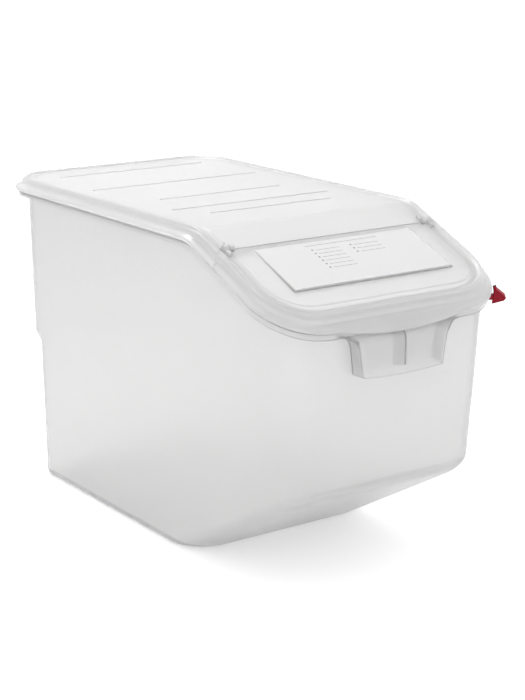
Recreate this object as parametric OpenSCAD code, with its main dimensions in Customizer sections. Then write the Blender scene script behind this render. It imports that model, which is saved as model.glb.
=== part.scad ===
// Ingredient bin with a two-part lid: a fixed rear cover and a sloping flip lid.
// Origin: centre of the lid's outline, on the surface the tub stands on. X is the width,
// the front faces -Y and +Z is up. Millimetres.

/* [Outline] */
// Width over the bead of the lid
lid_width = 300; // [260:5:340]
// Depth over the bead of the lid
lid_depth = 590; // [540:5:640]
// Height of the bead of the rear cover above the floor
lid_height = 394; // [360:2:430]
// Corner radius of the bead at the rear
rear_corner_r = 48; // [40:1:56]
// Corner radius of the bead at the front
front_corner_r = 58; // [54:1:66]

/* [Slope] */
// Angle of the sloping front part
slope_angle = 23.2; // [18:0.2:27]
// Distance from the front of the bead back to the fold
fold_run = 161; // [145:1:180]
// Radius of the fold
fold_r = 50; // [30:1:70]

/* [Tub] */
// Wall thickness of the tub
wall = 2.5; // [2:0.1:3.2]
// Draft of the side walls
side_draft = 2.05; // [1.2:0.1:2.6]
// Draft of the front wall
front_draft = 2.6; // [1:0.1:3.5]
// Draft of the rear wall
rear_draft = 0.75; // [0.4:0.1:1.6]
// Corner radius of the tub at the front, below the rim
tub_corner_r = 36; // [32:1:44]
// Rounding between the floor and the walls
floor_r = 8; // [5:0.5:12]
// Corner radius of the floor at the rear
floor_rear_r = 19; // [16:1:26]
// Corner radius of the floor at the front
floor_front_r = 47; // [40:1:60]
// Height at which the raked underside meets the front wall
rake_height = 114; // [90:2:140]
// Distance from the front wall's foot back to the front edge of the floor
rake_run = 198; // [170:2:220]
// Rounding between the rake and the front wall
rake_blend = 22; // [16:2:32]
// Height of the foot of the rear shoulder
shoulder_z = 182; // [160:2:200]
// Height over which the shoulder swells out
shoulder_rise = 12; // [8:1:18]
// Depth of the shoulder in the rear wall
shoulder_depth = 12; // [8:0.5:16]
// Depth of the crease that carries the shoulder on round the sides
crease_depth = 0.7; // [0.4:0.1:1.5]

/* [Rim] */
// Distance from the bead's outline in to the tub wall
rim_inset = 6.2; // [5.5:0.1:7.5]
// Distance that the rim's lip stands out of the bead's outline
rim_lip = 5.9; // [5:0.1:6.5]
// Depth of the rim's turned-down lip
rim_drop = 7.2; // [5:0.2:9]
// Distance from the front of the bead back to the fold of the lip's lower edge
rim_fold_run = 170; // [163:1:178]

/* [Lid] */
// Thickness of the lid's panels and skirt
lid_wall = 2.2; // [1.8:0.1:2.8]
// Depth of the panels below the top of the bead
panel_drop = 3.2; // [2.4:0.1:4]
// Height of the skirt from its lower edge to the top of the bead
skirt_height = 15.5; // [14:0.5:18]
// Distance from the front of the bead back to the skirt's own fold
skirt_fold_run = 165; // [163:1:178]
// Distance that the skirt's lip stands out of the bead's outline
skirt_lip = 10; // [9:0.2:12]
// Depth of the locating rib below the panels
locator_depth = 10; // [6:0.5:12]
// Thickness of the locating rib
locator_wall = 1.8; // [1.4:0.1:2.4]
// Gap between the locating rib and the inside of the tub
locator_gap = 1.4; // [1:0.1:2]
// Gap between the top of the tub and the panels above it
seat_gap = 0.4; // [0.3:0.05:0.8]
// Height of the stiffening ribs on top of the rear cover
rib_height = 1.3; // [0.8:0.1:2]
// Width of the stiffening ribs
rib_width = 2.6; // [1.6:0.1:4]

/* [Flip lid] */
// Width of the raised label field
label_width = 214; // [180:2:220]
// Length of the label field down the slope
label_length = 82; // [60:1:86]
// Height of the label field's lower edge above the panel
label_rise = 3; // [1.5:0.1:3.2]
// Distance from the hinge down to the label field
label_gap = 6; // [5:0.5:8]
// Half of the width over which the front lip swells down
lift_half_width = 86; // [70:1:90]
// Depth of the swelling at its middle
lift_drop = 9; // [5:0.5:10]
// Distance that the swelling stands forward
lift_forward = 2.5; // [1:0.5:4]

/* [Hinge] */
// Distance from the front of the bead back to the hinge axis
hinge_run = 120; // [112:1:124]
// Height of the hinge axis above the top of the bead
hinge_lift = 0.3; // [0.2:0.1:0.6]
// Radius of the hinge knuckles
knuckle_r = 3.8; // [3.4:0.1:4.4]
// Radius of the hinge pins
pin_r = 1.9; // [1.6:0.1:2.2]
// Radial clearance of the pins in the ears
pin_clearance = 0.07; // [0.03:0.01:0.1]
// Gap between the two lids and between knuckles
hinge_gap = 0.8; // [0.6:0.1:1.2]
// Angle at which the split between the two lids leans forward on the skirt
split_lean = 44; // [20:1:50]

/* [Handle] */
// Width of the handle's face
handle_width = 109; // [95:1:120]
// Distance that the handle's face stands out of the bead's outline
handle_reach = 13; // [11:0.5:16]
// Height of the handle from its lower edge to the rim
handle_height = 45; // [38:1:50]
// Thickness of the handle's walls
handle_wall = 2.5; // [2:0.1:3.2]
// Radius of the fillets between the handle's sides and the rim
handle_fillet_r = 20; // [12:1:24]
// Distance that each side of the handle leans out towards the rim
handle_flare = 4; // [0:0.5:8]

/* [Clip] */
// Angle of the clip on the front right corner, from the width towards the front
clip_angle = 38; // [34:1:42]
// Width of the clip along the rim
clip_width = 7; // [6:0.5:9]
// Distance that the clip stands out of the rim's lip
clip_reach = 19.6; // [17:0.2:22]
// Height of the clip
clip_height = 20.4; // [18:0.2:23]
// Clearance between the clip's jaws and the rim's lip
clip_clearance = 0.4; // [0.35:0.05:0.6]

/* [Hidden] */
$fn = 48;

front_y = -lid_depth / 2;
bead_fold = front_y + fold_run;
skirt_fold = front_y + skirt_fold_run;
rim_fold = front_y + rim_fold_run;
skirt_z = lid_height - skirt_height;
rim_z = skirt_z - rim_drop;

// The outline of every ring has these points on each quarter and along each side
corner_steps = 7;
fold_steps = 9;
front_steps = 5;

fold_tangent = fold_r * tan(slope_angle / 2);
// Depth of a folded surface below its flat part: level behind the fold, then a slope
function fold_drop(y, fold) =
    y >= fold + fold_tangent ? 0 :
    y <= fold - fold_tangent * cos(slope_angle) ? (fold - y) * tan(slope_angle) :
    fold_r - sqrt(pow(fold_r, 2) - pow(fold + fold_tangent - y, 2));

// The three folded surfaces that the lid and the rim follow
bead_at = function(y) lid_height - fold_drop(y, bead_fold);
skirt_at = function(y) skirt_z - fold_drop(y, skirt_fold);
rim_at = function(y) rim_z - fold_drop(y, rim_fold);

function lerp(a, b, t) = a + (b - a) * t;
function clamp01(t) = min(1, max(0, t));

// Places of the points along the straight sides, as shares of their length: crowded at the folds
side_low = front_y + front_corner_r;
side_high = lid_depth / 2 - rear_corner_r;
fold_shares = [for (k = [0:fold_steps - 1])
    (lerp(bead_fold - fold_tangent, rim_fold + fold_tangent, k / (fold_steps - 1)) - side_low)
        / (side_high - side_low)];

// Right half of a rounded rectangle, from the middle of the front to the middle of the rear
function half_outline(half_w, rear, front, rear_r, front_r) = concat(
    [for (k = [0:front_steps - 1]) [(half_w - front_r) * (k + 0.5) / front_steps, front]],
    [for (k = [0:corner_steps]) let(a = -90 + 90 * k / corner_steps)
        [half_w - front_r + front_r * cos(a), front + front_r + front_r * sin(a)]],
    [for (s = fold_shares) [half_w, lerp(front + front_r, rear - rear_r, s)]],
    [for (k = [0:corner_steps]) let(a = 90 * k / corner_steps)
        [half_w - rear_r + rear_r * cos(a), rear - rear_r + rear_r * sin(a)]]);

// A closed ring of points from its right half, whose height is a function of y
function close_ring(half, z) = [
    for (p = half) [p.x, p.y, z(p.y)],
    for (i = [len(half) - 1:-1:0]) [-half[i].x, half[i].y, z(half[i].y)]];

// A ring that runs parallel to the bead's outline
function lid_half(out) = half_outline(lid_width / 2 + out, lid_depth / 2 + out,
    front_y - out, rear_corner_r + out, front_corner_r + out);
function lid_ring(out, z, dz) = close_ring(lid_half(out), function(y) z(y) + dz);

// A ring whose sides follow the drafted tub wall as the rim comes down the slope
wall_half_w = lid_width / 2 - rim_inset;
function draft_share(y) = 1 - (skirt_z - skirt_at(y)) * tan(side_draft) / wall_half_w;
function drafted(half) = [for (p = half) [p.x * draft_share(p.y), p.y]];
function wall_ring(inward, z, dz) = close_ring(drafted(lid_half(-rim_inset - inward)),
    function(y) z(y) + dz);
// The same ring below the rim, where the tub's front corners are fuller
function under_ring(inward, dz) = close_ring(drafted(half_outline(wall_half_w - inward,
    rear_wall_y - inward, front_wall_y + inward, rear_corner_r - rim_inset - inward,
    tub_corner_r - inward)), function(y) skirt_at(y) + dz);

// The tub's level rings. "t" is 0 outside and the wall's thickness inside
front_rim_z = skirt_at(front_y + rim_inset);
front_wall_y = front_y + rim_inset;
rake_angle = atan2(rake_height, rake_run);
rake_foot = front_wall_y + (front_rim_z - rake_height) * tan(front_draft) + rake_run;
rear_wall_y = lid_depth / 2 - rim_inset;
function smooth_max(a, b, k) = max(a, b) + pow(max(k - abs(a - b), 0) / k, 2) * k / 4;
function shoulder_share(z) = let(s = clamp01((z - shoulder_z) / shoulder_rise)) s * s * (3 - 2 * s);
function tub_half_w(z) = wall_half_w - (skirt_z - z) * tan(side_draft)
    - crease_depth * (1 - shoulder_share(z));
function tub_rear(z) = rear_wall_y - (skirt_z - z) * tan(rear_draft)
    - shoulder_depth * (1 - shoulder_share(z));
function tub_front(z, t) = smooth_max(
    rake_foot - z / tan(rake_angle) + t / sin(rake_angle),
    front_wall_y + (front_rim_z - z) * tan(front_draft) + t, rake_blend);
function tub_rear_r(z) = lerp(floor_rear_r, rear_corner_r - rim_inset, z / skirt_z);
function tub_front_r(z) = lerp(floor_front_r, tub_corner_r, min(z / rake_height, 1));
function tub_ring(z, t, inset) = close_ring(half_outline(
    tub_half_w(z) - t - inset, tub_rear(z) - t - inset, tub_front(z, t) + inset,
    tub_rear_r(z) - t - inset, tub_front_r(z) - t - inset), function(y) z);

// A surface through rings of equal length, closed by strips from side to side at both ends.
// The first ring's cap faces down and the last ring's faces up
module loft(rings) {
    n = len(rings[0]);
    last = (len(rings) - 1) * n;
    half = n / 2;
    sides = [for (i = [0:len(rings) - 2]) for (j = [0:n - 1])
        let(a = i * n + j, b = i * n + (j + 1) % n)
        for (face = [[a, a + n, b + n], [a, b + n, b]]) face];
    low_cap = [for (j = [0:half - 2]) [j, j + 1, n - 2 - j, n - 1 - j]];
    high_cap = [for (j = [0:half - 2])
        [last + j, last + n - 1 - j, last + n - 2 - j, last + j + 1]];
    polyhedron([for (ring = rings) for (p = ring) p], concat(sides, low_cap, high_cap),
        convexity = 8);
}

// One continuous moulded shell out of its children
module moulded() resize([0, 0, 0]) children();

// Heights of the tub's level rings above the floor's rounding
blend_z = rake_blend / (1 / tan(rake_angle) + tan(front_draft));
level_zs = concat(
    [for (k = [-1:0.5:1]) rake_height + k * blend_z],
    [for (k = [0:4]) shoulder_z + shoulder_rise * k / 4]);
round_steps = 3;
// Inside the tub the floor's rounding is as large as outside
function round_inset(k) = floor_r * (1 - sin(90 * k / round_steps));
function round_z(k) = floor_r * (1 - cos(90 * k / round_steps));

seat_top = -(panel_drop + lid_wall + seat_gap);
ledge = wall + 1.5;
module tub_shell() {
    loft(concat(
        [for (k = [0:round_steps]) tub_ring(round_z(k), 0, round_inset(k))],
        [for (z = level_zs) tub_ring(z, 0, 0)],
        [
            under_ring(0, -ledge - 1.5),
            under_ring(-0.8, -ledge),
            lid_ring(rim_lip - wall, skirt_at, -ledge),
            lid_ring(rim_lip - wall + 0.3, rim_at, 0),
            lid_ring(rim_lip - 0.5, rim_at, 0),
            lid_ring(rim_lip, skirt_at, -4.2),
            lid_ring(rim_lip - 1.2, skirt_at, -1.8),
            wall_ring(-1, skirt_at, -0.9),
            wall_ring(0, skirt_at, 0.4),
            wall_ring(0, bead_at, seat_top - 0.7),
            wall_ring(0.6, bead_at, seat_top),
            wall_ring(wall - 0.6, bead_at, seat_top),
            wall_ring(wall, bead_at, seat_top - 0.7),
            wall_ring(wall, skirt_at, -wall),
            under_ring(wall, -ledge - 1.5)
        ],
        [for (i = [len(level_zs) - 1:-1:0]) tub_ring(level_zs[i], wall, 0)],
        [for (k = [round_steps:-1:0]) tub_ring(wall + round_z(k), wall, round_inset(k))]));
}

// The handle hangs from the rim's lip and runs back to the tub wall
handle_top = rim_at(front_y - rim_lip);
handle_low = handle_top - handle_height;
handle_y = front_y - handle_reach;
handle_half = handle_width / 2;
handle_depth = handle_reach + rim_inset + handle_height * tan(front_draft) + 2 * wall;
// Height by which the middle of its lower edge hangs below the ends
handle_sag = 2;
fillet_steps = 6;
// Room by which a cutting shape runs past what it cuts
spare = 10;
// Its outline seen from the front, with fillets up to the rim. "t" is 0 outside and the wall's
// thickness for the cup inside, which is open below
function handle_side(t) = let(r = handle_fillet_r + t, x = handle_half + handle_flare - t) concat(
    [for (k = [1:4]) [(handle_half - t) * k / 4,
        handle_low - spare * sign(t) + handle_sag * pow(k / 4, 2)]],
    [for (k = [0:fillet_steps]) let(a = 90 * k / fillet_steps)
        [x + r - r * cos(a), handle_top + t - r + r * sin(a)]],
    [[x + r, handle_top + t + spare]]);
module handle_front(t) let(side = handle_side(t)) polygon(concat(side,
    [for (i = [len(side) - 1:-1:0]) [-side[i].x, side[i].y]]));
module along_y(from, len) translate([0, from + len, 0]) rotate([90, 0, 0]) linear_extrude(len) children();
module along_x(from, len) translate([from, 0, 0]) rotate([90, 0, 90]) linear_extrude(len) children();
// Its corners seen from above, as distances in from the face's ends and back from the face
handle_wing = handle_flare + handle_fillet_r + 2;
handle_corner = [[-handle_wing, 7.6], [-12, 6.4], [-6, 5], [-2.6, 3.4], [0, 2], [2.5, 0.7], [6.5, 0]];
module handle_plan() polygon([
    for (p = handle_corner) [-handle_half + p.x, handle_y + p.y],
    for (i = [len(handle_corner) - 1:-1:0])
        [handle_half - handle_corner[i].x, handle_y + handle_corner[i].y],
    [handle_half + handle_wing, handle_y + handle_depth],
    [-handle_half - handle_wing, handle_y + handle_depth]]);
module handle() {
    back = handle_y + handle_depth;
    intersection() {
        difference() {
            intersection() {
                along_y(handle_y, handle_depth) handle_front(0);
                // From the side: an upright face that leans back to the lip
                along_x(-lid_width / 2, lid_width) polygon([
                    [handle_y, handle_low - 1], [handle_y, handle_top - 7],
                    [front_y - rim_lip - 0.4, handle_top + 1.5], [front_y + rim_inset, handle_top + 1.5],
                    [back, handle_top - 7], [back, handle_low - 1]]);
            }
            difference() {
                intersection() {
                    along_y(handle_y, handle_depth + spare) handle_front(handle_wall);
                    along_x(-lid_width / 2, lid_width) polygon([
                        [handle_y + handle_wall, handle_low - spare],
                        [handle_y + handle_wall, handle_top - 8],
                        [front_y - rim_lip + wall - 0.6, handle_top + 0.2],
                        [front_y - rim_lip + wall - 0.6, handle_top + spare],
                        [back + spare, handle_top + spare], [back + spare, handle_low - spare]]);
                }
                // Gusset in the middle of the cup
                along_x(-handle_wall / 2, handle_wall) polygon([
                    [handle_y, handle_low + 7], [back + spare, handle_low + 2],
                    [back + spare, handle_top + 2], [handle_y, handle_top + 2]]);
            }
        }
        translate([0, 0, handle_low - spare]) linear_extrude(handle_height + 2 * spare) handle_plan();
    }
}

module tub() color([0.88, 0.89, 0.9]) moulded() {
    tub_shell();
    difference() {
        handle();
        // Its sides end inside the thickness of the drafted wall
        along_x(-lid_width / 2, lid_width) polygon([for (p = [[0, -1], [lid_width, -1], [lid_width, 1], [0, 1]])
            let(z = p.y < 0 ? handle_low - spare : handle_top + spare)
            [tub_front(z, 0.6 * wall) + p.x, z]]);
    }
}

// Swelling of the front lip that fingers lift the lid by
function swell(p) = p.y > front_y + 2 ? 0 : 1 - pow(min(abs(p.x) / lift_half_width, 1), 2);
function lip_ring(out, dz) = [for (p = lid_ring(out, skirt_at, dz))
    p - [0, lift_forward, lift_drop] * swell(p)];

panel_top = -panel_drop;
panel_under = panel_top - lid_wall;
locator_out = -rim_inset - wall - locator_gap;
panel_edge = -16;
// The whole lid as one thin shell: panel, bead, coved skirt with its lip, and the locating rib
module lid_shell() {
    rib_in = wall + locator_gap;
    loft([
        lid_ring(panel_edge - 3, bead_at, panel_under),
        wall_ring(rib_in + locator_wall, bead_at, panel_under),
        wall_ring(rib_in + locator_wall, bead_at, panel_under - locator_depth),
        wall_ring(rib_in, bead_at, panel_under - locator_depth),
        wall_ring(rib_in, bead_at, panel_under),
        lid_ring(-6.4, bead_at, panel_under),
        lid_ring(-3.4, bead_at, panel_under + 1),
        lid_ring(-2, bead_at, panel_under),
        lid_ring(-1, bead_at, -8),
        lid_ring(1.6, skirt_at, 4.6),
        lip_ring(skirt_lip - 4.6, 2.4),
        lip_ring(skirt_lip - 2.2, 0),
        lip_ring(skirt_lip - 0.8, 0),
        lip_ring(skirt_lip, 2.6),
        lip_ring(skirt_lip - 0.8, 4.4),
        lid_ring(skirt_lip - 3.8, skirt_at, 5.4),
        lid_ring(3.2, skirt_at, 7),
        lid_ring(1, bead_at, -6),
        lid_ring(0, bead_at, -3),
        lid_ring(-1.2, bead_at, -1),
        lid_ring(-3.4, bead_at, 0),
        lid_ring(-5.4, bead_at, -0.9),
        lid_ring(-7.4, bead_at, panel_top - 0.1),
        lid_ring(panel_edge + 0.8, bead_at, panel_top - 0.1),
        lid_ring(panel_edge, bead_at, panel_top + 0.5)
    ]);
}

hinge_y = front_y + hinge_run;
hinge_z = bead_at(hinge_y) + hinge_lift;
// Moves its children into the hinge's frame: x along the axis, -y down the slope
module at_hinge() translate([0, hinge_y, hinge_z]) rotate([slope_angle, 0, 0]) children();

half_space = lid_depth + lid_height;
// Where the upright split of the panels gives way to the leaning split of the skirt
split_x = lid_width / 2 - 7.8;
// All that lies before the split (side -1) or behind it (side 1), at most "half" from the middle
module split_half(side, half, lean) along_x(-half, 2 * half) polygon([
    [side * hinge_gap / 2, half_space], [side * hinge_gap / 2, 0],
    [side * hinge_gap / 2 - half_space * tan(lean), -half_space],
    [side * 2 * half_space, -half_space], [side * 2 * half_space, half_space]]);
// The lid in front of the hinge (side -1) or behind it (side 1)
module lid_part(side) {
    inner = split_x + (side > 0 ? hinge_gap : 0);
    intersection() {
        lid_shell();
        at_hinge() union() {
            split_half(side, inner, 0);
            difference() {
                split_half(side, lid_width, split_lean);
                cube([2 * inner, 5 * half_space, 3 * half_space], center = true);
            }
        }
    }
}

// Knuckles sit between the bead and the panel's raised middle. The ear is the inner one
knuckle_outer = lid_width / 2 - 8.2;
knuckle_len = (-panel_edge - 8.2 + 4) / 2;
ear_inner = knuckle_outer - 2 * knuckle_len - hinge_gap;
pivot_inner = ear_inner + knuckle_len + hinge_gap;
block_len = 2 * knuckle_r + 3;
module along_axis(x0, len, r) translate([x0, 0, 0]) rotate([0, 90, 0]) cylinder(len, r, r);
module both_sides() for (side = [0, 1]) mirror([side, 0, 0]) children();
// Block that carries a knuckle on its own lid. It ends inside the panel, clear of the tub's edge
block_z = (panel_under - hinge_lift) * cos(slope_angle) + 0.5;
module knuckle_block(x0, side) difference() {
    translate([x0 + 0.3, side > 0 ? 0 : -block_len, block_z])
        cube([knuckle_len - 0.6, block_len, 0.6 - block_z]);
    along_axis(x0 - 1, knuckle_len + 2, knuckle_r - 0.6);
}
// Room round the other lid's knuckle
module knuckle_room(x0, side) {
    along_axis(x0 - hinge_gap / 2, knuckle_len + hinge_gap, knuckle_r + hinge_gap / 2);
    translate([x0 - hinge_gap / 2, side > 0 ? 0 : -knuckle_r - hinge_gap, -lid_height / 4])
        cube([knuckle_len + hinge_gap, knuckle_r + hinge_gap, lid_height / 4]);
}

edge_wall_depth = 9;
// Turned-down edge of a panel along the hinge, a little back from the panel's own edge
module edge_wall(side)
    translate([-ear_inner + 1, side * (hinge_gap / 2 + 0.3 + lid_wall / 2) - lid_wall / 2,
        panel_under - hinge_lift - edge_wall_depth])
        cube([2 * ear_inner - 2, lid_wall, edge_wall_depth + lid_wall / 2]);

// Distances of the ribs from the fold and their lengths
rib_places = [[70, 168], [110, 219], [175, 170], [273, 236], [379, 210]];
module rear_cover() color([0.95, 0.95, 0.96]) {
    moulded() {
        difference() {
            union() {
                lid_part(1);
                at_hinge() edge_wall(1);
                at_hinge() both_sides() knuckle_block(ear_inner, 1);
            }
            at_hinge() both_sides() knuckle_room(pivot_inner, 1);
            at_hinge() both_sides() along_axis(ear_inner - 1, knuckle_len + 1, knuckle_r - 0.6);
        }
        for (rib = rib_places)
            translate([-rib[1] / 2, bead_fold + rib[0] - rib_width / 2, lid_height + panel_top - 0.5])
                cube([rib[1], rib_width, rib_height + 0.5]);
    }
    // Ears with the bores that the pins turn in
    at_hinge() both_sides() difference() {
        along_axis(ear_inner, knuckle_len, knuckle_r);
        along_axis(ear_inner - 1, knuckle_len + 2, pin_r + pin_clearance);
    }
}

module flip_lid() color([0.93, 0.94, 0.95]) {
    moulded() {
        difference() {
            union() {
                lid_part(-1);
                at_hinge() edge_wall(-1);
                at_hinge() both_sides() {
                    knuckle_block(pivot_inner, -1);
                    along_axis(pivot_inner, knuckle_len, knuckle_r);
                }
            }
            at_hinge() both_sides() knuckle_room(ear_inner, -1);
        }
        // Raised label field: a wedge that is highest at its lower edge
        at_hinge() translate([-label_width / 2, -label_gap, panel_top - hinge_lift]) rotate([90, 0, 90])
            linear_extrude(label_width)
                polygon([[0, -0.5], [0, 0.9], [-label_length, label_rise + 0.5], [-label_length, -0.5]]);
    }
    // Hinge pins
    at_hinge() both_sides() along_axis(ear_inner, knuckle_len + hinge_gap + 1, pin_r);
}

// The clip's frame: origin at the lower outer edge of the rim's lip on the corner, x outwards,
// tilted along the slope of the lip
clip_centre = [lid_width / 2 - front_corner_r, front_y + front_corner_r];
clip_dir = [cos(clip_angle), -sin(clip_angle)];
clip_lip = clip_centre + (front_corner_r + rim_lip) * clip_dir;
clip_tilt = atan(tan(slope_angle) * cos(clip_angle));
module at_clip() translate([clip_lip.x, clip_lip.y, rim_at(clip_lip.y)])
    rotate([0, 0, -clip_angle]) rotate([clip_tilt, 0, 0]) children();

jaw_wall = 1.6;
// Inner face of the inner jaw: the lip's wall and the sagitta of its curve lie outside it
jaw_x = -wall - 0.5 - clip_clearance;
clip_top = clip_height * 0.59;
clip_low = clip_top - clip_height;
// Tab with a blunt tip, held clear of the lid, and the fork that is pushed up over the rim's lip
tab = [[4.1, clip_low], [clip_reach - 2.2, clip_low + 4.3], [clip_reach, clip_low + 7.3],
    [clip_reach - 1.4, clip_low + 10.3], [6.9, clip_top], [6.3, clip_top]];
module colour_clip() color([0.66, 0.05, 0.13]) at_clip() difference() {
    union() {
        along_y(-clip_width / 2, clip_width) offset(0.6) offset(-0.6) polygon(tab);
        along_y(-clip_width / 2 + 0.8, clip_width - 1.6) polygon([
            [jaw_x - jaw_wall, 2.2], [jaw_x, 2.2], [jaw_x, -0.9], [clip_clearance, -0.6],
            [clip_clearance, 2.4], [7, 2.4], [7, -3.4], [jaw_x - jaw_wall + 1, -3.4],
            [jaw_x - jaw_wall, -2.4]]);
    }
    // Shallow dish in both faces of the tab
    for (side = [-1, 1]) along_y(side * (clip_width / 2 + 0.2) - 1, 2)
        offset(0.8) offset(-2.6) polygon(tab);
}

tub();
rear_cover();
flip_lid();
colour_clip();
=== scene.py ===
"""Looks of the rice bin: moulded polypropylene shells, the red clip, and a pale studio."""

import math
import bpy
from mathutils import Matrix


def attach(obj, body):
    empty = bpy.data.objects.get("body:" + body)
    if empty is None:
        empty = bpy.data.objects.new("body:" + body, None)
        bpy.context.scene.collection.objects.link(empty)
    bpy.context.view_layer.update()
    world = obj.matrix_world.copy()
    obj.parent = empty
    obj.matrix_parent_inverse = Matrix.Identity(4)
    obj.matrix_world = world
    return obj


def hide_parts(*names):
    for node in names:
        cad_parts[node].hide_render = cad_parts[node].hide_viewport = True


bl_info = {
    "name": "Rice Bin with Flip Lid",
    "version": (1, 0, 0),
    "blender": (4, 5, 0),
    "location": "View3D > Sidebar > Rice Bin",
    "description": "Builds a kitchen bin for dry food with a hinged sloping lid",
    "category": "Add Mesh",
}

import bmesh
import bpy
from bpy.props import FloatProperty, FloatVectorProperty, PointerProperty
from mathutils import Euler, Matrix, Vector

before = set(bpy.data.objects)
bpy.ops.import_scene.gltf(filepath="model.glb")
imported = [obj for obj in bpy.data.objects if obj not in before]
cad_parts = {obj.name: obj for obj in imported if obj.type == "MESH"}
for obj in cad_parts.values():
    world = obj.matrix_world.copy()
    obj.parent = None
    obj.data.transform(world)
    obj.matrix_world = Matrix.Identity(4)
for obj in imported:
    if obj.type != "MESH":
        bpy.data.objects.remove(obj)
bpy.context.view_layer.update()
MM = 0.001

# Sizes in millimetres, as in the part's source. The lid's outline is that of the bead round its panel
LID_W, LID_D, LID_H = 300.0, 590.0, 394.0
REAR_R, FRONT_R = 48.0, 58.0
FRONT_Y = -LID_D / 2
WALL, LID_WALL = 2.5, 2.2

# The fold of the lid and rim, and where each level of them starts down the slope
SLOPE = math.radians(23.2)
FOLD_R = 50.0
FOLD_TANGENT = FOLD_R * math.tan(SLOPE / 2)
BEAD_FOLD, SKIRT_FOLD, RIM_FOLD = FRONT_Y + 161, FRONT_Y + 165, FRONT_Y + 170
SKIRT_Z = LID_H - 15.5
RIM_Z = SKIRT_Z - 7.2

# The lid's sunk panel, in heights below the bead, and the lips of lid and rim, outside its outline
PANEL_DROP = 3.2
PANEL_TOP = -PANEL_DROP
PANEL_UNDER = PANEL_TOP - LID_WALL
PANEL_EDGE = -16.0
SEAT_TOP = PANEL_UNDER - 0.4
RIM_INSET = 6.2
RIM_LIP, SKIRT_LIP = 5.9, 10.0
LEDGE = WALL + 1.5
SWELL_HALF, SWELL_OUT, SWELL_DOWN = 86.0, 2.5, 9.0

# The tub: corners, drafts, the rake under its front, the knee above it and the shoulder of the rear wall
TUB_R, FLOOR_R, FLOOR_REAR_R, FLOOR_ROUND = 36.0, 47.0, 19.0, 8.0
SIDE_DRAFT, REAR_DRAFT, FRONT_DRAFT = math.radians(2.05), math.radians(0.75), math.radians(2.6)
RAKE_TOP, RAKE_RUN = 114.0, 198.0
KNEE_REACH, KNEE_DEPTH = 22.0, 5.5
SHOULDER_Z, SHOULDER_RISE = 182.0, 12.0
SHOULDER_REAR, SHOULDER_SIDE = 12.0, 0.7

# The cup handle: it widens over its lower part, flares out below the rim and leans back into it
HANDLE_HALF, HANDLE_HEIGHT, HANDLE_REACH = 54.5, 45.0, 13.0
HANDLE_LOWER, HANDLE_WIDENS = 25.0, 4.0
HANDLE_FLARE, HANDLE_LEAN, HANDLE_BURIED = 20.0, 8.5, 1.5
HANDLE_R, HANDLE_SAG, HANDLE_SAG_RISE = 5.5, 2.0, 20.0

# The hinge: its axis, the knuckles from EAR_X (cover) and PIVOT_X (flip lid), and the split between the lids
HINGE_Y = FRONT_Y + 120
HINGE_LIFT = 0.3
HINGE_GAP = 0.8
HINGE_INSET, HINGE_OVER_PANEL = 8.2, 4.0
KNUCKLE_R, PIN_R, BORE_R = 3.8, 1.9, 1.97
KNUCKLE_LEN = (-PANEL_EDGE - HINGE_INSET + HINGE_OVER_PANEL) / 2
EAR_X = LID_W / 2 - HINGE_INSET - 2 * KNUCKLE_LEN - HINGE_GAP
PIVOT_X = EAR_X + KNUCKLE_LEN + HINGE_GAP
BLOCK_D = 2 * KNUCKLE_R + 3
BLOCK_Z = (PANEL_UNDER - HINGE_LIFT) * math.cos(SLOPE) + 0.5
SPLIT_X = LID_W / 2 - 7.8
SPLIT_LEAN = math.radians(44)
BEYOND = 700.0

# Ribs of the rear cover: how far each lies behind the bead's fold, and its length
REAR_RIBS = ((70, 168), (110, 219), (175, 170), (273, 236), (379, 210))
RIB_W = 2.6

# The raised field in the hinge's frame, with its height at the rear and front edge, and what lies on it
FIELD_HALF, FIELD_REAR, FIELD_FRONT = 107.0, -6.0, -88.0
FIELD_BASE = PANEL_TOP - HINGE_LIFT
FIELD_LOW, FIELD_HIGH = 0.9, 3.5
WRITING_PANEL = ((-105, -86.4, 0), (105, -7.6, 0.16))
FORM_COLUMNS = ((-41, -4, 6), (11, 50, 3))
FORM_HEAD = (-44, -14.6, 53, -14.0)
FORM_Y, FORM_STEP = -23.6, 7.0
FORM_BOX, FORM_LINE, FORM_LINE_AT = 2.2, 0.5, 5.0
PRINT_LOW, PRINT_TOP = 0.1, 0.22

# The clip seen along the rim: outwards and up from the lower outer edge of the rim's lip
CLIP_ANGLE = math.radians(38)
TAB_W, FORK_W = 7.0, 5.4
CLIP_TAB = [(4.1, -8.36), (17.4, -4.06), (19.6, -1.06), (18.2, 1.94), (6.9, 12.04), (6.3, 12.04)]
CLIP_FORK = [(-5.0, 2.2), (-3.4, 2.2), (-3.4, -0.9), (0.4, -0.6), (0.4, 2.4), (7, 2.4), (7, -3.4),
             (-4.0, -3.4), (-5.0, -2.4)]

# Light on the bin: the sky's strength, the floor's own glow to the camera, and the lamp's watts
SKY_LIGHT, FLOOR_GLOW, LAMP_POWER = 1.0, 0.4, 6.2
FLOOR_SIZE = 6000.0
LAMP_PLACE, LAMP_TARGET, LAMP_SIZE = (0, 0.62, 1.35), (0, 0.05, 0.39), 0.55
CAMERA_PLACE = (-1.1268, -1.6486, 0.7449)
CAMERA_LENS, CAMERA_DOWN, CAMERA_TURN = 88.6, math.radians(15.11), math.radians(-35.10)

# Points on each quarter, on each side and on each half of the front
CORNER_STEPS, SIDE_STEPS, FRONT_STEPS = 20, 27, 14


# Shape of the lid and tub

def lerp(a, b, t):
    return a + (b - a) * t


def fold_drop(y, fold):
    """Depth below the flat part of a surface that is level behind its fold and slopes before it."""
    if y >= fold + FOLD_TANGENT:
        return 0.0
    if y <= fold - FOLD_TANGENT * math.cos(SLOPE):
        return (fold - y) * math.tan(SLOPE)
    return FOLD_R - math.sqrt(FOLD_R ** 2 - (fold + FOLD_TANGENT - y) ** 2)


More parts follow.
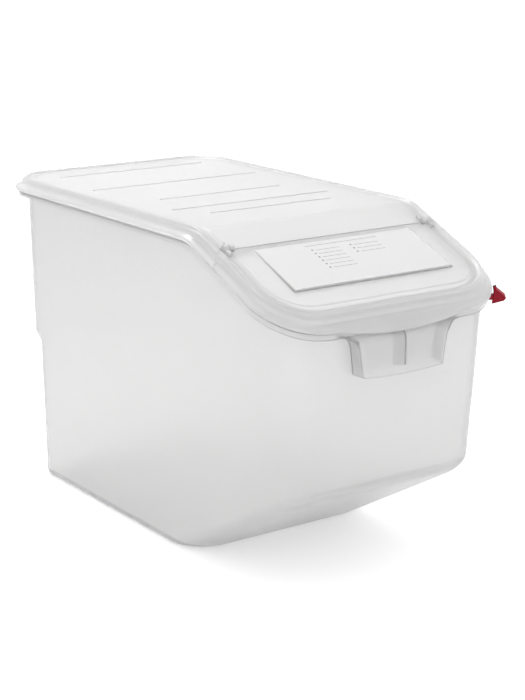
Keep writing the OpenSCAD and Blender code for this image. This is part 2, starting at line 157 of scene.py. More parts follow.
def bead_at(y):
    return LID_H - fold_drop(y, BEAD_FOLD)


def skirt_at(y):
    return SKIRT_Z - fold_drop(y, SKIRT_FOLD)


def rim_at(y):
    return RIM_Z - fold_drop(y, RIM_FOLD)


def side_shares():
    """Places along a side, crowded round the folds."""
    low, high = FRONT_Y + FRONT_R, LID_D / 2 - REAR_R
    start, end = BEAD_FOLD - FOLD_TANGENT, RIM_FOLD + FOLD_TANGENT
    places = [lerp(start, end, k / (SIDE_STEPS - 4)) for k in range(SIDE_STEPS - 3)]
    shares = [(y - low) / (high - low) for y in places]
    return [shares[0] * 0.5] + shares + [lerp(shares[-1], 1, 0.33), lerp(shares[-1], 1, 0.66)]


SIDE_SHARES = side_shares()


def half_outline(half_w, rear, front, rear_r, front_r):
    """Right half of a rounded rectangle, from the middle of the front to the middle of the rear."""
    points = [((half_w - front_r) * (k + 0.5) / FRONT_STEPS, front) for k in range(FRONT_STEPS)]
    for k in range(CORNER_STEPS + 1):
        a = math.radians(-90 + 90 * k / CORNER_STEPS)
        points.append((half_w - front_r + front_r * math.cos(a), front + front_r + front_r * math.sin(a)))
    points += [(half_w, lerp(front + front_r, rear - rear_r, s)) for s in SIDE_SHARES]
    for k in range(CORNER_STEPS + 1):
        a = math.radians(90 * k / CORNER_STEPS)
        points.append((half_w - rear_r + rear_r * math.cos(a), rear - rear_r + rear_r * math.sin(a)))
    return points


def closed_ring(half, height):
    """A half outline and its mirror image, each point at the height that its y calls for."""
    right = [Vector((x, y, height(y))) for x, y in half]
    return right + [Vector((-p.x, p.y, p.z)) for p in reversed(right)]


def lid_half(out):
    return half_outline(LID_W / 2 + out, LID_D / 2 + out, FRONT_Y - out, REAR_R + out, FRONT_R + out)


def lid_ring(out, surface, dz):
    """A ring that runs parallel to the bead's outline."""
    return closed_ring(lid_half(out), lambda y: surface(y) + dz)


def drafted(half):
    """Draws the sides in as the rim comes down the slope, as the tub's draft does."""
    draft = math.tan(SIDE_DRAFT) / (LID_W / 2 - RIM_INSET)
    return [(x * (1 - (SKIRT_Z - skirt_at(y)) * draft), y) for x, y in half]


def wall_ring(inward, surface, dz):
    """A ring of the tub's upstand, parallel to the bead's outline."""
    return closed_ring(drafted(lid_half(-RIM_INSET - inward)), lambda y: surface(y) + dz)


def under_ring(inward, dz):
    """A ring below the rim, where the tub's front corners are fuller."""
    inset = RIM_INSET + inward
    half = half_outline(LID_W / 2 - inset, LID_D / 2 - inset, FRONT_Y + inset, REAR_R - inset, TUB_R - inward)
    return closed_ring(drafted(half), lambda y: skirt_at(y) + dz)


def lip_ring(out, dz):
    """A ring of the skirt's lip, which swells down and forward in the middle of the front."""
    ring = lid_ring(out, skirt_at, dz)
    for p in ring:
        if p.y < FRONT_Y + 2:
            swell = 1 - min(abs(p.x) / SWELL_HALF, 1) ** 2
            p -= Vector((0, SWELL_OUT, SWELL_DOWN)) * swell
    return ring


def tub_ring(z, t, inset):
    """A level ring of the tub: t is 0 outside and the wall's thickness inside."""
    rake = math.atan2(RAKE_TOP, RAKE_RUN)
    front_top = FRONT_Y + RIM_INSET
    front_z = skirt_at(front_top)
    draft = math.tan(FRONT_DRAFT)
    foot = front_top + (front_z - RAKE_TOP) * draft + RAKE_RUN
    share = max(0.0, min(1.0, (z - SHOULDER_Z) / SHOULDER_RISE))
    below = 1 - share * share * (3 - 2 * share)
    half_w = LID_W / 2 - RIM_INSET - (SKIRT_Z - z) * math.tan(SIDE_DRAFT) - SHOULDER_SIDE * below
    rear = LID_D / 2 - RIM_INSET - (SKIRT_Z - z) * math.tan(REAR_DRAFT) - SHOULDER_REAR * below
    slope_y = foot - z / math.tan(rake) + t / math.sin(rake)
    wall_y = front_top + (front_z - z) * draft + t
    knee = max(KNEE_REACH - abs(slope_y - wall_y), 0) / KNEE_REACH
    front = max(slope_y, wall_y) + knee ** 2 * KNEE_DEPTH
    rear_r = lerp(FLOOR_REAR_R, REAR_R - RIM_INSET, z / SKIRT_Z)
    front_r = lerp(FLOOR_R, TUB_R, min(z / RAKE_TOP, 1))
    less = t + inset
    half = half_outline(half_w - less, rear - less, front + inset, rear_r - less, front_r - less)
    return closed_ring(half, lambda y: z)


def rounded(rings, radius, steps=4):
    """Rounds the section of a loft: each ring between two others becomes a short curve."""
    n = len(rings[0])
    probes = range(0, n, max(1, n // 12))

    def gap(a, b):
        return sum((a[i] - b[i]).length for i in probes) / len(probes)

    out = [rings[0]]
    for before, ring, after in zip(rings, rings[1:], rings[2:]):
        back = min(radius / max(gap(before, ring), 1e-6), 0.48)
        ahead = min(radius / max(gap(ring, after), 1e-6), 0.48)
        for k in range(steps + 1):
            t = k / steps
            curve = []
            for a, p, b in zip(before, ring, after):
                start, end = p.lerp(a, back), p.lerp(b, ahead)
                curve.append(start * (1 - t) ** 2 + p * 2 * t * (1 - t) + end * t * t)
            out.append(curve)
    out.append(rings[-1])
    return out


# Mesh tools

def grow(bm, verts, edges, ring):
    """Extrudes a loop or chain of edges and lays its new points on the next ring."""
    place = {v: i for i, v in enumerate(verts)}
    made = bmesh.ops.extrude_edge_only(bm, edges=edges)["geom"]
    new_verts = [None] * len(verts)
    fresh = {g for g in made if isinstance(g, bmesh.types.BMVert)}
    for v in fresh:
        old = next(e.other_vert(v) for e in v.link_edges if e.other_vert(v) in place)
        new_verts[place[old]] = v
    for v, p in zip(new_verts, ring):
        v.co = p
    new_edges = [g for g in made if isinstance(g, bmesh.types.BMEdge)
                 and g.verts[0] in fresh and g.verts[1] in fresh]
    return new_verts, new_edges


def cap_across(bm, verts, edges):
    """Closes a symmetric loop with strips that run from side to side."""
    half = len(verts) // 2
    right = set(verts[:half])
    left = set(verts[half:])
    rails = [e for e in edges if all(v in right for v in e.verts) or all(v in left for v in e.verts)]
    bmesh.ops.bridge_loops(bm, edges=rails)


def loft(rings):
    """A closed skin: a circle laid on the first ring, extruded from ring to ring, capped at both ends."""
    bm = bmesh.new()
    verts = bmesh.ops.create_circle(bm, cap_ends=False, segments=len(rings[0]), radius=1)["verts"]
    for v, p in zip(verts, rings[0]):
        v.co = p
    edges = list(bm.edges)
    cap_across(bm, verts, edges)
    for ring in rings[1:]:
        verts, edges = grow(bm, verts, edges, ring)
    cap_across(bm, verts, edges)
    bmesh.ops.recalc_face_normals(bm, faces=bm.faces)
    return bm


def soften_edges(bm, edges, radius, segments=3):
    """Rounds a set of edges."""
    bmesh.ops.bevel(bm, geom=edges, offset=radius, offset_type="OFFSET", segments=segments,
                    profile=0.5, affect="EDGES", material=-1)


def box(low, high, soften=0.0):
    """A block between two corners, with its edges softened."""
    bm = bmesh.new()
    bmesh.ops.create_cube(bm, size=1)
    low, high = Vector(low), Vector(high)
    bmesh.ops.scale(bm, vec=high - low, verts=bm.verts)
    bmesh.ops.translate(bm, vec=(low + high) / 2, verts=bm.verts)
    if soften:
        soften_edges(bm, bm.edges[:], soften)
    return bm


def rod(x0, length, radius, soften=0.0):
    """A round bar along X from x0."""
    bm = bmesh.new()
    bmesh.ops.create_cone(bm, cap_ends=True, segments=48, radius1=radius, radius2=radius, depth=length)
    if soften:
        soften_edges(bm, [e for e in bm.edges if len({round(v.co.z, 5) for v in e.verts}) == 1], soften)
    turn = Matrix.Translation((x0 + length / 2, 0, 0)) @ Matrix.Rotation(math.pi / 2, 4, "Y")
    bmesh.ops.transform(bm, matrix=turn, verts=bm.verts)
    return bm


def prism(outline, x0, length):
    """A flat outline in (y, z) carried along X."""
    bm = bmesh.new()
    verts = [bm.verts.new((x0, y, z)) for y, z in outline]
    face = bm.faces.new(verts)
    grown = bmesh.ops.extrude_face_region(bm, geom=[face])["geom"]
    bmesh.ops.translate(bm, vec=(length, 0, 0), verts=[g for g in grown if isinstance(g, bmesh.types.BMVert)])
    bmesh.ops.recalc_face_normals(bm, faces=bm.faces)
    return bm


def as_object(name, bm, matrix=None):
    """Turns a mesh in millimetres into an object at the origin, in metres."""
    if matrix is not None:
        bmesh.ops.transform(bm, matrix=matrix, verts=bm.verts)
        if matrix.determinant() < 0:
            bmesh.ops.reverse_faces(bm, faces=bm.faces)
    bmesh.ops.scale(bm, vec=(MM, MM, MM), verts=bm.verts)
    mesh = bpy.data.meshes.new(name)
    bm.to_mesh(mesh)
    bm.free()
    obj = bpy.data.objects.new(name, mesh)
    bpy.context.scene.collection.objects.link(obj)
    return obj


def carve(obj, tool, operation):
    """Joins a tool's shape to a piece, or takes it away, and removes the tool."""
    change = obj.modifiers.new("carve", "BOOLEAN")
    change.operation = operation
    change.solver = "MANIFOLD"
    change.object = tool
    settle(obj)
    bpy.data.objects.remove(tool)


def settle(obj):
    """Applies a piece's modifiers."""
    depsgraph = bpy.context.evaluated_depsgraph_get()
    mesh = bpy.data.meshes.new_from_object(obj.evaluated_get(depsgraph))
    obj.modifiers.clear()
    old = obj.data
    obj.data = mesh
    bpy.data.meshes.remove(old)
    mesh.name = obj.name


def finish_piece(obj, body, node, material, angle=32):
    """Smooth shading with crisp corners, the material, and the piece's place in the frame."""
    obj.data.materials.clear()
    obj.data.materials.append(material)
    for face in obj.data.polygons:
        face.use_smooth = True
        face.material_index = 0
    obj.data.set_sharp_from_angle(angle=math.radians(angle))
    even = obj.modifiers.new("even", "WEIGHTED_NORMAL")
    even.keep_sharp = True
    settle(obj)
    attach(obj, body)
    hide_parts(node)


def hinge_z():
    """Height of the hinge's axis."""
    return bead_at(HINGE_Y) + HINGE_LIFT


def beyond_split(side, x0, x1, lean):
    """All that lies across the split from one lid: side is 1 for the cover and -1 for the flip lid."""
    edge, past = side * HINGE_GAP / 2, -2 * side * BEYOND
    return prism([(edge, BEYOND), (edge, 0), (edge - BEYOND * math.tan(lean), -BEYOND),
                  (past, -BEYOND), (past, BEYOND)], x0, x1 - x0)


def one_lid(name, side):
    """The whole lid's shell, cut at the hinge. On the skirt the cut leans forward."""
    lid = as_object(name, loft(lid_rings()))
    inner = SPLIT_X + (HINGE_GAP if side > 0 else 0)
    reach = inner if side > 0 else LID_W
    add_at_hinge(lid, lambda: beyond_split(side, -reach, reach, 0), "DIFFERENCE", both=False)
    add_at_hinge(lid, lambda: beyond_split(side, inner - 0.01, LID_W, SPLIT_LEAN), "DIFFERENCE")
    return lid


def at_hinge():
    """The hinge's frame: x along the axis, -y down the slope."""
    return Matrix.Translation((0, HINGE_Y, hinge_z())) @ Matrix.Rotation(SLOPE, 4, "X")


MIRROR_X = Matrix.Scale(-1, 4, Vector((1, 0, 0)))


# Materials

def node(tree, kind, **sockets):
    """A shader node with some of its sockets set."""
    made = tree.nodes.new(kind)
    for name, value in sockets.items():
        made.inputs[name.replace("_", " ")].default_value = value
    return made


def arithmetic(tree, operation, first, second, clamp=False):
    """The result of a sum on a socket and a second socket or a constant."""
    made = tree.nodes.new("ShaderNodeMath")
    made.operation = operation
    made.use_clamp = clamp
    tree.links.new(first, made.inputs[0])
    if isinstance(second, float):
        made.inputs[1].default_value = second
    else:
        tree.links.new(second, made.inputs[1])
    return made.outputs[0]


def moulded_skin_group():
    """Shared effect of moulded plastic: a faint cloudiness and a fine skin."""
    group = bpy.data.node_groups.get("Moulded skin")
    if group:
        return group
    group = bpy.data.node_groups.new("Moulded skin", "ShaderNodeTree")
    face = group.interface
    for name, kind, default in (
        ("Colour", "NodeSocketColor", (0.8, 0.8, 0.8, 1)),
        ("Cloud", "NodeSocketFloat", 0.03),
        ("Roughness", "NodeSocketFloat", 0.35),
        ("Skin", "NodeSocketFloat", 0.1),
    ):
        face.new_socket(name=name, in_out="INPUT", socket_type=kind).default_value = default
    for name, kind in (
        ("Colour", "NodeSocketColor"),
        ("Roughness", "NodeSocketFloat"),
        ("Normal", "NodeSocketVector"),
    ):
        face.new_socket(name=name, in_out="OUTPUT", socket_type=kind)
    inputs, outputs = group.nodes.new("NodeGroupInput"), group.nodes.new("NodeGroupOutput")
    place = group.nodes.new("ShaderNodeTexCoord")
    link = group.links.new

    cloud = node(group, "ShaderNodeTexNoise", Scale=9.0, Detail=3.0, Roughness=0.5)
    link(place.outputs["Object"], cloud.inputs["Vector"])
    centred = arithmetic(group, "SUBTRACT", cloud.outputs["Fac"], 0.5)
    share = arithmetic(group, "MULTIPLY", centred, inputs.outputs["Cloud"])
    lift = arithmetic(group, "ADD", share, 1.0)
    tint = group.nodes.new("ShaderNodeVectorMath")
    tint.operation = "SCALE"
    link(inputs.outputs["Colour"], tint.inputs[0])
    link(lift, tint.inputs["Scale"])
    link(tint.outputs[0], outputs.inputs["Colour"])
    link(arithmetic(group, "MULTIPLY", inputs.outputs["Roughness"], lift), outputs.inputs["Roughness"])

    grain = node(group, "ShaderNodeTexNoise", Scale=700.0, Detail=2.0, Roughness=0.6)
    link(place.outputs["Object"], grain.inputs["Vector"])
    bump = node(group, "ShaderNodeBump", Distance=0.0002)
    link(inputs.outputs["Skin"], bump.inputs["Strength"])
    link(grain.outputs["Fac"], bump.inputs["Height"])
    link(bump.outputs["Normal"], outputs.inputs["Normal"])
    return group


def plastic(name, colour, cloud, roughness, skin, haze=0.0, **shader):
    """A moulded plastic: the shared skin on a Principled shader. Haze darkens long ways through a wall."""
    material = bpy.data.materials.new(name)
    material.use_nodes = True
    tree = material.node_tree
    tree.nodes.clear()
    out = tree.nodes.new("ShaderNodeOutputMaterial")
    principled = tree.nodes.new("ShaderNodeBsdfPrincipled")
    for socket, value in shader.items():
        principled.inputs[socket.replace("_", " ")].default_value = value
    effect = tree.nodes.new("ShaderNodeGroup")
    effect.node_tree = moulded_skin_group()
    effect.inputs["Colour"].default_value = (*colour, 1)
    effect.inputs["Cloud"].default_value = cloud
    effect.inputs["Roughness"].default_value = roughness
    effect.inputs["Skin"].default_value = skin
    tree.links.new(effect.outputs["Colour"], principled.inputs["Base Color"])
    tree.links.new(effect.outputs["Roughness"], principled.inputs["Roughness"])
    tree.links.new(effect.outputs["Normal"], principled.inputs["Normal"])
    tree.links.new(principled.outputs[0], out.inputs["Surface"])
    if haze:
        inside = node(tree, "ShaderNodeVolumeAbsorption", Color=(0.5, 0.5, 0.5, 1), Density=haze)
        tree.links.new(inside.outputs[0], out.inputs["Volume"])
    return material


# Sizes and colours that a user would change

class RiceBinSizes(bpy.types.PropertyGroup):
    edge_round: FloatProperty(
        name="Edge rounding", description="Rounding of the lid's moulded edges",
        default=0.0011, min=0.0003, max=0.002, unit="LENGTH")
    rib_height: FloatProperty(
        name="Rib height", description="Height of the ribs on the rear cover",
        default=0.0008, min=0.0003, max=0.0015, unit="LENGTH")


class RiceBinColours(bpy.types.PropertyGroup):
    tub: FloatVectorProperty(
        name="Tub", description="Milky polypropylene of the tub",
        subtype="COLOR", default=(0.985, 0.985, 0.985), min=0, max=1)
    lid: FloatVectorProperty(
        name="Lid", description="White polypropylene of both lids",
        subtype="COLOR", default=(0.985, 0.985, 0.985), min=0, max=1)
    panel: FloatVectorProperty(
        name="Writing panel", description="Matt face of the field to write on",
        subtype="COLOR", default=(0.92, 0.92, 0.92), min=0, max=1)
    clip: FloatVectorProperty(
        name="Clip", description="Red plastic of the colour clip",
        subtype="COLOR", default=(0.31, 0.0, 0.014), min=0, max=1)


# Pieces

def tub_shell():
    """The tub's skin: up the outside from the floor, round the rim and down the inside."""
    turns = [math.radians(90 * k / 8) for k in range(9)]
    round_z = [FLOOR_ROUND * (1 - math.cos(a)) for a in turns]
    round_in = [FLOOR_ROUND * (1 - math.sin(a)) for a in turns]
    blend = KNEE_REACH / (RAKE_RUN / RAKE_TOP + math.tan(FRONT_DRAFT))
    levels = [RAKE_TOP + blend * k / 6 for k in range(-6, 7)]
    levels += [SHOULDER_Z + SHOULDER_RISE * k / 10 for k in range(11)]
    outside = [tub_ring(z, 0, i) for z, i in zip(round_z, round_in)] + [tub_ring(z, 0, 0) for z in levels]
    inside = [tub_ring(z, WALL, 0) for z in reversed(levels)]
    inside += [tub_ring(WALL + z, WALL, i) for z, i in zip(reversed(round_z), reversed(round_in))]
    rim = rounded([
        outside[-1],
        under_ring(0, -LEDGE),
        lid_ring(RIM_LIP - WALL, skirt_at, -LEDGE),
        lid_ring(RIM_LIP - WALL + 0.3, rim_at, 0),
        lid_ring(RIM_LIP - 0.3, rim_at, 0),
        lid_ring(RIM_LIP, skirt_at, -1.6),
        wall_ring(0, skirt_at, -0.6),
        wall_ring(0, bead_at, SEAT_TOP),
        wall_ring(WALL, bead_at, SEAT_TOP),
        wall_ring(WALL, skirt_at, -WALL),
        under_ring(WALL, -LEDGE - 1.5),
        inside[0],
    ], 0.9)
    return loft(outside[:-1] + rim + inside[1:])


def handle_sheet():
    """The cup handle: one bent sheet that runs from the wall round the face and back."""
    rim = rim_at(FRONT_Y - RIM_LIP)
    top, low, face_y = rim + HANDLE_BURIED, rim - HANDLE_HEIGHT, FRONT_Y - HANDLE_REACH
    levels = [low + HANDLE_LOWER * k / 6 for k in range(6)]
    levels += [rim - HANDLE_FLARE * (1 - math.sin(math.radians(90 * k / 10))) for k in range(11)] + [top]

    def outline(z):
        lean = max(0.0, 1 - (top - z) / HANDLE_LEAN)
        y = lerp(face_y, FRONT_Y - RIM_LIP - 0.2, lean ** 1.4)
        rise = max(0.0, min(1.0, 1 - (rim - z) / HANDLE_FLARE))
        half = HANDLE_HALF + HANDLE_WIDENS * min(1.0, (z - low) / HANDLE_LOWER)
        half += HANDLE_FLARE * (1 - math.sqrt(1 - rise ** 2))
        r = HANDLE_R
        back_y = FRONT_Y + RIM_INSET + (skirt_at(FRONT_Y) - z) * math.tan(FRONT_DRAFT) + WALL / 2
        right = [((half - r) * k / 8, y) for k in range(9)]
        right += [(half - r + r * math.sin(math.radians(a)), y + r - r * math.cos(math.radians(a)))
                  for a in (15, 30, 45, 60, 75, 90)]
        right += [(half, lerp(y + r, back_y, k / 3)) for k in (1, 2, 3)]
        points = [(-x, v) for x, v in reversed(right[1:])] + right
        droop = HANDLE_SAG * (1 - min(1.0, (z - low) / HANDLE_SAG_RISE))
        return [Vector((x, v, z - droop * (1 - min(1.0, (x / half) ** 2)))) for x, v in points]

    bm = bmesh.new()
    first = outline(levels[0])
    verts = [bm.verts.new(p) for p in first]
    edges = [bm.edges.new(pair) for pair in zip(verts, verts[1:])]
    for z in levels[1:]:
        verts, edges = grow(bm, verts, edges, outline(z))
    bmesh.ops.recalc_face_normals(bm, faces=bm.faces)
    if sum(f.normal.y for f in bm.faces) > 0:
        bmesh.ops.reverse_faces(bm, faces=bm.faces)
    bmesh.ops.solidify(bm, geom=bm.faces[:], thickness=WALL)
    return bm


def handle_gusset():
    """The web that stands in the middle of the handle's cup."""
    top = rim_at(FRONT_Y - RIM_LIP)
    face_y, wall_y = FRONT_Y - HANDLE_REACH + 1, FRONT_Y + RIM_INSET + 1
    web = [(face_y, top - 38), (wall_y, top - 43), (wall_y, top + 4),
           (FRONT_Y - RIM_LIP + 1, top + 0.5), (face_y, top - 8)]
    return prism(web, -WALL / 2, WALL)


class OBJECT_OT_rice_bin_tub(bpy.types.Operator):
    """Build the tub with its rim and handle"""
    bl_idname = "rice_bin.tub"
    bl_label = "Tub"

    def execute(self, context):
        colours = context.scene.rice_bin_colours
        tub = as_object("tub_shell", tub_shell())
        carve(tub, as_object("handle", handle_sheet()), "UNION")
        carve(tub, as_object("gusset", handle_gusset()), "UNION")
        finish_piece(tub, "bin", "tub",
                     plastic("Milky polypropylene", tuple(colours.tub), 0.02, 0.24, 0.03, haze=46,
                             IOR=1.49, Transmission_Weight=0.78))
        return {"FINISHED"}


def lid_rings():
    """The lid's section: from the underside of the panel round the rib and the lip to the panel's top."""
    rib_in = WALL + 1.4
    return rounded([
        lid_ring(PANEL_EDGE - 3, bead_at, PANEL_UNDER),
        wall_ring(rib_in + 1.8, bead_at, PANEL_UNDER),
        wall_ring(rib_in + 1.8, bead_at, PANEL_UNDER - 10),
        wall_ring(rib_in, bead_at, PANEL_UNDER - 10),
        wall_ring(rib_in, bead_at, PANEL_UNDER),
        lid_ring(-6.4, bead_at, PANEL_UNDER),
        lid_ring(-3.4, bead_at, PANEL_UNDER + 1),
        lid_ring(-2, bead_at, PANEL_UNDER),
        lid_ring(-1, bead_at, -8),
        lid_ring(1.6, skirt_at, 4.6),
        lip_ring(SKIRT_LIP - 4.6, 2.4),
        lip_ring(SKIRT_LIP - 2.2, 0),
        lip_ring(SKIRT_LIP - 0.8, 0),
        lip_ring(SKIRT_LIP, 2.6),
        lip_ring(SKIRT_LIP - 0.8, 4.4),
        lid_ring(SKIRT_LIP - 3.8, skirt_at, 5.4),
        lid_ring(3.2, skirt_at, 7),
        lid_ring(1, bead_at, -6),
        lid_ring(0, bead_at, -3),
        lid_ring(-1.2, bead_at, -1),
        lid_ring(-3.4, bead_at, 0),
        lid_ring(-5.4, bead_at, -0.9),
        lid_ring(-7.4, bead_at, PANEL_TOP - 0.1),
        lid_ring(PANEL_EDGE + 0.8, bead_at, PANEL_TOP - 0.1),
        lid_ring(PANEL_EDGE, bead_at, PANEL_TOP + 0.5),
        lid_ring(PANEL_EDGE - 6, bead_at, PANEL_TOP + 0.5),
    ], bpy.context.scene.rice_bin_sizes.edge_round / MM, steps=3)


def white_plastic(context):
    """One finish for both lids."""
    return bpy.data.materials.get("White polypropylene") or plastic(
        "White polypropylene", tuple(context.scene.rice_bin_colours.lid), 0.02, 0.26, 0.03, haze=12,
        IOR=1.49, Transmission_Weight=0.6)


def add_at_hinge(obj, build, operation, both=True):
    """Joins or carves a shape given in the hinge's frame, on one or both sides of the lid."""
    for turn in ([Matrix.Identity(4), MIRROR_X] if both else [Matrix.Identity(4)]):
        carve(obj, as_object("tool", build(), at_hinge() @ turn), operation)


def beside_axis(side, x0, length, depth, low_z, high_z, soften=0.0):
    """A block that starts at the hinge's axis and lies behind it (side 1) or before it (side -1)."""
    low_y, high_y = sorted((0.0, side * depth))
    return box((x0, low_y, low_z), (x0 + length, high_y, high_z), soften)


def knuckle(obj, x0, side, other_x0):
    """This lid's knuckle and its block, and room round the other lid's knuckle."""
    room_x0, room = other_x0 - HINGE_GAP / 2, KNUCKLE_LEN + HINGE_GAP
    add_at_hinge(obj, lambda: beside_axis(side, x0 + 0.3, KNUCKLE_LEN - 0.6, BLOCK_D, BLOCK_Z, 0.6, 0.5),
                 "UNION")
    add_at_hinge(obj, lambda: rod(room_x0, room, KNUCKLE_R + HINGE_GAP / 2), "DIFFERENCE")
    add_at_hinge(obj, lambda: beside_axis(side, room_x0, room, KNUCKLE_R + HINGE_GAP, -60, 0), "DIFFERENCE")
    add_at_hinge(obj, lambda: rod(x0, KNUCKLE_LEN, KNUCKLE_R, 0.4), "UNION")


def edge_wall(side):
    """The stiffening wall below the panel, on this lid's side of the split."""
    low_y = side * (HINGE_GAP / 2 + 0.3 + LID_WALL / 2) - LID_WALL / 2
    under = PANEL_UNDER - HINGE_LIFT
    return box((-EAR_X + 1, low_y, under - 9), (EAR_X - 1, low_y + LID_WALL, under + LID_WALL / 2), 0.3)


class OBJECT_OT_rice_bin_rear_cover(bpy.types.Operator):
    """Build the rear cover with its ribs and hinge ears"""
    bl_idname = "rice_bin.rear_cover"
    bl_label = "Rear cover"

    def execute(self, context):
        cover = one_lid("rear_cover_shell", 1)
        add_at_hinge(cover, lambda: edge_wall(1), "UNION", both=False)
        knuckle(cover, EAR_X, 1, PIVOT_X)
        add_at_hinge(cover, lambda: rod(EAR_X - 1, KNUCKLE_LEN + 2, BORE_R), "DIFFERENCE")
        height = context.scene.rice_bin_sizes.rib_height / MM
        z = LID_H + PANEL_TOP + 0.5
        for run, length in REAR_RIBS:
            low_y = BEAD_FOLD + run - RIB_W / 2
            rib = box((-length / 2, low_y, z - 1), (length / 2, low_y + RIB_W, z + height), 0.6)
            carve(cover, as_object("rib", rib), "UNION")
        finish_piece(cover, "cover", "rear_cover", white_plastic(context))
        return {"FINISHED"}


def raised_field():
    """The raised field, in the hinge's frame."""
    bm = prism([(FIELD_REAR, FIELD_BASE - 0.5), (FIELD_REAR, FIELD_BASE + FIELD_LOW),
                (FIELD_FRONT, FIELD_BASE + FIELD_HIGH), (FIELD_FRONT, FIELD_BASE - 0.5)],
               -FIELD_HALF, 2 * FIELD_HALF)
    soften_edges(bm, [e for e in bm.edges if min(v.co.z for v in e.verts) > FIELD_BASE], 0.8)
    return bm


def on_field():
    """The frame of the raised field's face, which leans a little in the hinge's frame."""
    lean = math.atan2(FIELD_HIGH - FIELD_LOW, FIELD_REAR - FIELD_FRONT)
    return (at_hinge() @ Matrix.Translation((0, FIELD_REAR, FIELD_BASE + FIELD_LOW))
            @ Matrix.Rotation(-lean, 4, "X") @ Matrix.Translation((0, -FIELD_REAR, 0)))


def ruled_lines():
    """A plain form to fill in, with no lettering: small square boxes and a ruled line beside each."""
    bars = []
    for left, right, rows in FORM_COLUMNS:
        for row in range(rows):
            low = FORM_Y - FORM_STEP * row
            bars.append((left, low, left + FORM_BOX, low + FORM_BOX))
            bars.append((left + FORM_LINE_AT, low, right, low + FORM_LINE))
    bars.append(FORM_HEAD)
    drawn = [as_object("ruled_lines", box((x0, y0, PRINT_LOW), (x1, y1, PRINT_TOP), 0.02), on_field())
             for x0, y0, x1, y1 in bars]
    with bpy.context.temp_override(active_object=drawn[0], selected_editable_objects=drawn):
        bpy.ops.object.join()
    return drawn[0]


class OBJECT_OT_rice_bin_flip_lid(bpy.types.Operator):
    """Build the flip lid with its raised field and hinge pins"""
    bl_idname = "rice_bin.flip_lid"
    bl_label = "Flip lid"

    def execute(self, context):
        lid = one_lid("flip_lid_shell", -1)
        add_at_hinge(lid, lambda: edge_wall(-1), "UNION", both=False)
        knuckle(lid, PIVOT_X, -1, EAR_X)
        add_at_hinge(lid, lambda: rod(EAR_X, KNUCKLE_LEN + HINGE_GAP + 1, PIN_R, 0.3), "UNION")
        add_at_hinge(lid, raised_field, "UNION", both=False)
        panel_colour = tuple(context.scene.rice_bin_colours.panel)
        panel = as_object("writing_panel", box(*WRITING_PANEL, 0.05), on_field())
        finish_piece(panel, "flip", "flip_lid",
                     plastic("Matt writing panel", panel_colour, 0.02, 0.55, 0.1, Transmission_Weight=0.3))
        finish_piece(ruled_lines(), "flip", "flip_lid",
                     plastic("Grey ruled print", (0.3, 0.31, 0.33), 0.1, 0.6, 0.05))
        finish_piece(lid, "flip", "flip_lid", white_plastic(context))
        return {"FINISHED"}


def red_plastic(context):
    return plastic("Red clip plastic", tuple(context.scene.rice_bin_colours.clip), 0.05, 0.2, 0.03, IOR=1.5,
                   Specular_IOR_Level=0.2)


def at_clip():
    """The clip's frame: from the lower outer edge of the rim's lip, y outwards and x along the rim."""
    out = Vector((math.cos(CLIP_ANGLE), -math.sin(CLIP_ANGLE)))
    lip = Vector((LID_W / 2 - FRONT_R, FRONT_Y + FRONT_R)) + (FRONT_R + RIM_LIP) * out
    tilt = math.atan(math.tan(SLOPE) * math.cos(CLIP_ANGLE))
    return (Matrix.Translation((lip.x, lip.y, rim_at(lip.y))) @ Matrix.Rotation(-CLIP_ANGLE, 4, "Z")
            @ Matrix.Rotation(tilt, 4, "X") @ Matrix.Rotation(-math.pi / 2, 4, "Z"))


def clip_tab():
    """The tab that fingers pull: soft edges, and a raised rim round a dish in each face."""
    bm = prism(CLIP_TAB, -TAB_W / 2, TAB_W)
    soften_edges(bm, bm.edges[:], 0.7)
    faces = [f for f in bm.faces if abs(f.normal.x) > 0.999 and f.calc_area() > 20]
    for thickness, depth in ((0.7, 0), (0.5, -0.35), (0.5, -0.35), (0.7, -0.15)):
        bmesh.ops.inset_individual(bm, faces=faces, thickness=thickness, depth=depth)
    return bm


def clip_fork():
    """The fork that grips the lower edge of the rim's lip."""
    bm = prism(CLIP_FORK, -FORK_W / 2, FORK_W)
    soften_edges(bm, bm.edges[:], 0.3, segments=2)
    return bm


class OBJECT_OT_rice_bin_clip(bpy.types.Operator):
    """Build the red colour clip: a dished tab and the fork that grips the rim's lip"""
    bl_idname = "rice_bin.clip"
    bl_label = "Colour clip"

    def execute(self, context):
        clip = as_object("clip_tab", clip_tab(), at_clip())
        carve(clip, as_object("fork", clip_fork(), at_clip()), "UNION")
        finish_piece(clip, "clip", "colour_clip", red_plastic(context), angle=40)
        return {"FINISHED"}


class OBJECT_OT_rice_bin_stage(bpy.types.Operator):
    """Build the floor, the light and the camera"""
    bl_idname = "rice_bin.stage"
    bl_label = "Stage"

    def execute(self, context):
        scene = context.scene
        scene.view_settings.view_transform = "Standard"
        bm = bmesh.new()
        bmesh.ops.create_grid(bm, x_segments=1, y_segments=1, size=FLOOR_SIZE)
        floor = as_object("studio_floor", bm)
        floor.data.materials.append(floor_material())
        world_light(scene)
        area_light("Soft light above the rear", LAMP_PLACE, LAMP_TARGET, LAMP_SIZE, LAMP_POWER)
        camera = bpy.data.cameras.new("Camera")
        camera.sensor_width = 36
        camera.lens = CAMERA_LENS
        eye = bpy.data.objects.new("Camera", camera)
        eye.location = CAMERA_PLACE
        eye.rotation_euler = Euler((math.pi / 2 - CAMERA_DOWN, 0, CAMERA_TURN))
        scene.collection.objects.link(eye)
        scene.camera = eye
        return {"FINISHED"}


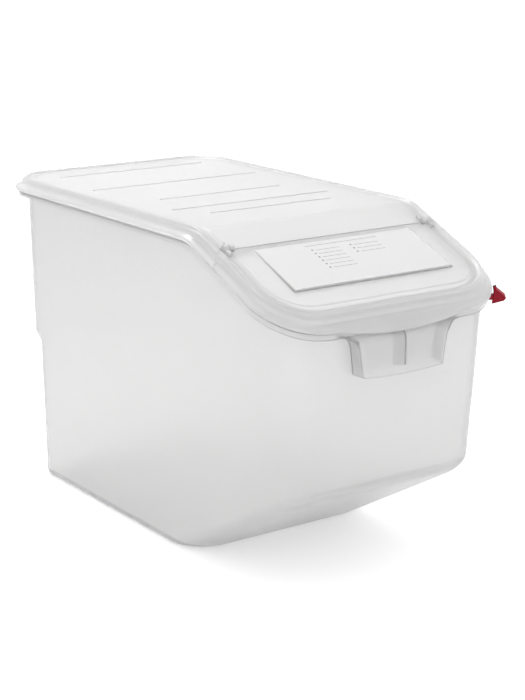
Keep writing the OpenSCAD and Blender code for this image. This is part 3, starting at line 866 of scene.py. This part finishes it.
def seen_directly(tree):
    """1 for what the camera sees, straight, by gloss or through the walls. 0 for what lights the bin."""
    path = tree.nodes.new("ShaderNodeLightPath")
    seen = path.outputs["Is Camera Ray"]
    for ray in ("Is Glossy Ray", "Is Transmission Ray"):
        seen = arithmetic(tree, "ADD", seen, path.outputs[ray], clamp=True)
    return seen


def floor_material():
    """A pale floor that the camera sees as white, apart from the bin's soft shadow."""
    material = bpy.data.materials.new("Pale floor")
    material.use_nodes = True
    tree = material.node_tree
    tree.nodes.clear()
    out = tree.nodes.new("ShaderNodeOutputMaterial")
    surface = node(tree, "ShaderNodeBsdfDiffuse", Color=(0.9, 0.9, 0.9, 1))
    glow = tree.nodes.new("ShaderNodeEmission")
    tree.links.new(arithmetic(tree, "MULTIPLY", seen_directly(tree), FLOOR_GLOW), glow.inputs["Strength"])
    both = tree.nodes.new("ShaderNodeAddShader")
    tree.links.new(surface.outputs[0], both.inputs[0])
    tree.links.new(glow.outputs[0], both.inputs[1])
    tree.links.new(both.outputs[0], out.inputs["Surface"])
    return material


def world_light(scene):
    """An even pale sky, which the camera sees as white."""
    world = bpy.data.worlds.new("Studio")
    scene.world = world
    world.use_nodes = True
    tree = world.node_tree
    tree.nodes.clear()
    out = tree.nodes.new("ShaderNodeOutputWorld")
    sky = node(tree, "ShaderNodeBackground", Color=(1, 1, 1, 1))
    strength = node(tree, "ShaderNodeMapRange", To_Min=SKY_LIGHT, To_Max=1.0)
    tree.links.new(seen_directly(tree), strength.inputs["Value"])
    tree.links.new(strength.outputs[0], sky.inputs["Strength"])
    tree.links.new(sky.outputs[0], out.inputs["Surface"])


def area_light(name, place, target, size, power):
    """A round soft lamp that faces a point."""
    light = bpy.data.lights.new(name, "AREA")
    light.shape = "DISK"
    light.size = size
    light.energy = power
    obj = bpy.data.objects.new(name, light)
    obj.location = place
    obj.rotation_euler = (Vector(target) - Vector(place)).to_track_quat("-Z", "Y").to_euler()
    bpy.context.scene.collection.objects.link(obj)


class VIEW3D_PT_rice_bin(bpy.types.Panel):
    """Lists the pieces of the bin"""
    bl_label = "Rice Bin"
    bl_space_type = "VIEW_3D"
    bl_region_type = "UI"
    bl_category = "Rice Bin"

    def draw(self, context):
        layout = self.layout
        for group in (context.scene.rice_bin_sizes, context.scene.rice_bin_colours):
            for name in group.bl_rna.properties.keys():
                if name not in ("rna_type", "name"):
                    layout.prop(group, name)
        for operator in OPERATORS:
            layout.operator(operator.bl_idname)


OPERATORS = (OBJECT_OT_rice_bin_tub, OBJECT_OT_rice_bin_rear_cover, OBJECT_OT_rice_bin_flip_lid,
             OBJECT_OT_rice_bin_clip, OBJECT_OT_rice_bin_stage)
CLASSES = (RiceBinSizes, RiceBinColours, *OPERATORS, VIEW3D_PT_rice_bin)


def register():
    for cls in CLASSES:
        bpy.utils.register_class(cls)
    bpy.types.Scene.rice_bin_sizes = PointerProperty(type=RiceBinSizes)
    bpy.types.Scene.rice_bin_colours = PointerProperty(type=RiceBinColours)


def unregister():
    del bpy.types.Scene.rice_bin_sizes
    del bpy.types.Scene.rice_bin_colours
    for cls in reversed(CLASSES):
        bpy.utils.unregister_class(cls)


def main():
    register()
    bpy.ops.rice_bin.tub()
    bpy.ops.rice_bin.rear_cover()
    bpy.ops.rice_bin.flip_lid()
    bpy.ops.rice_bin.clip()
    bpy.ops.rice_bin.stage()


if __name__ == "__main__":
    main()
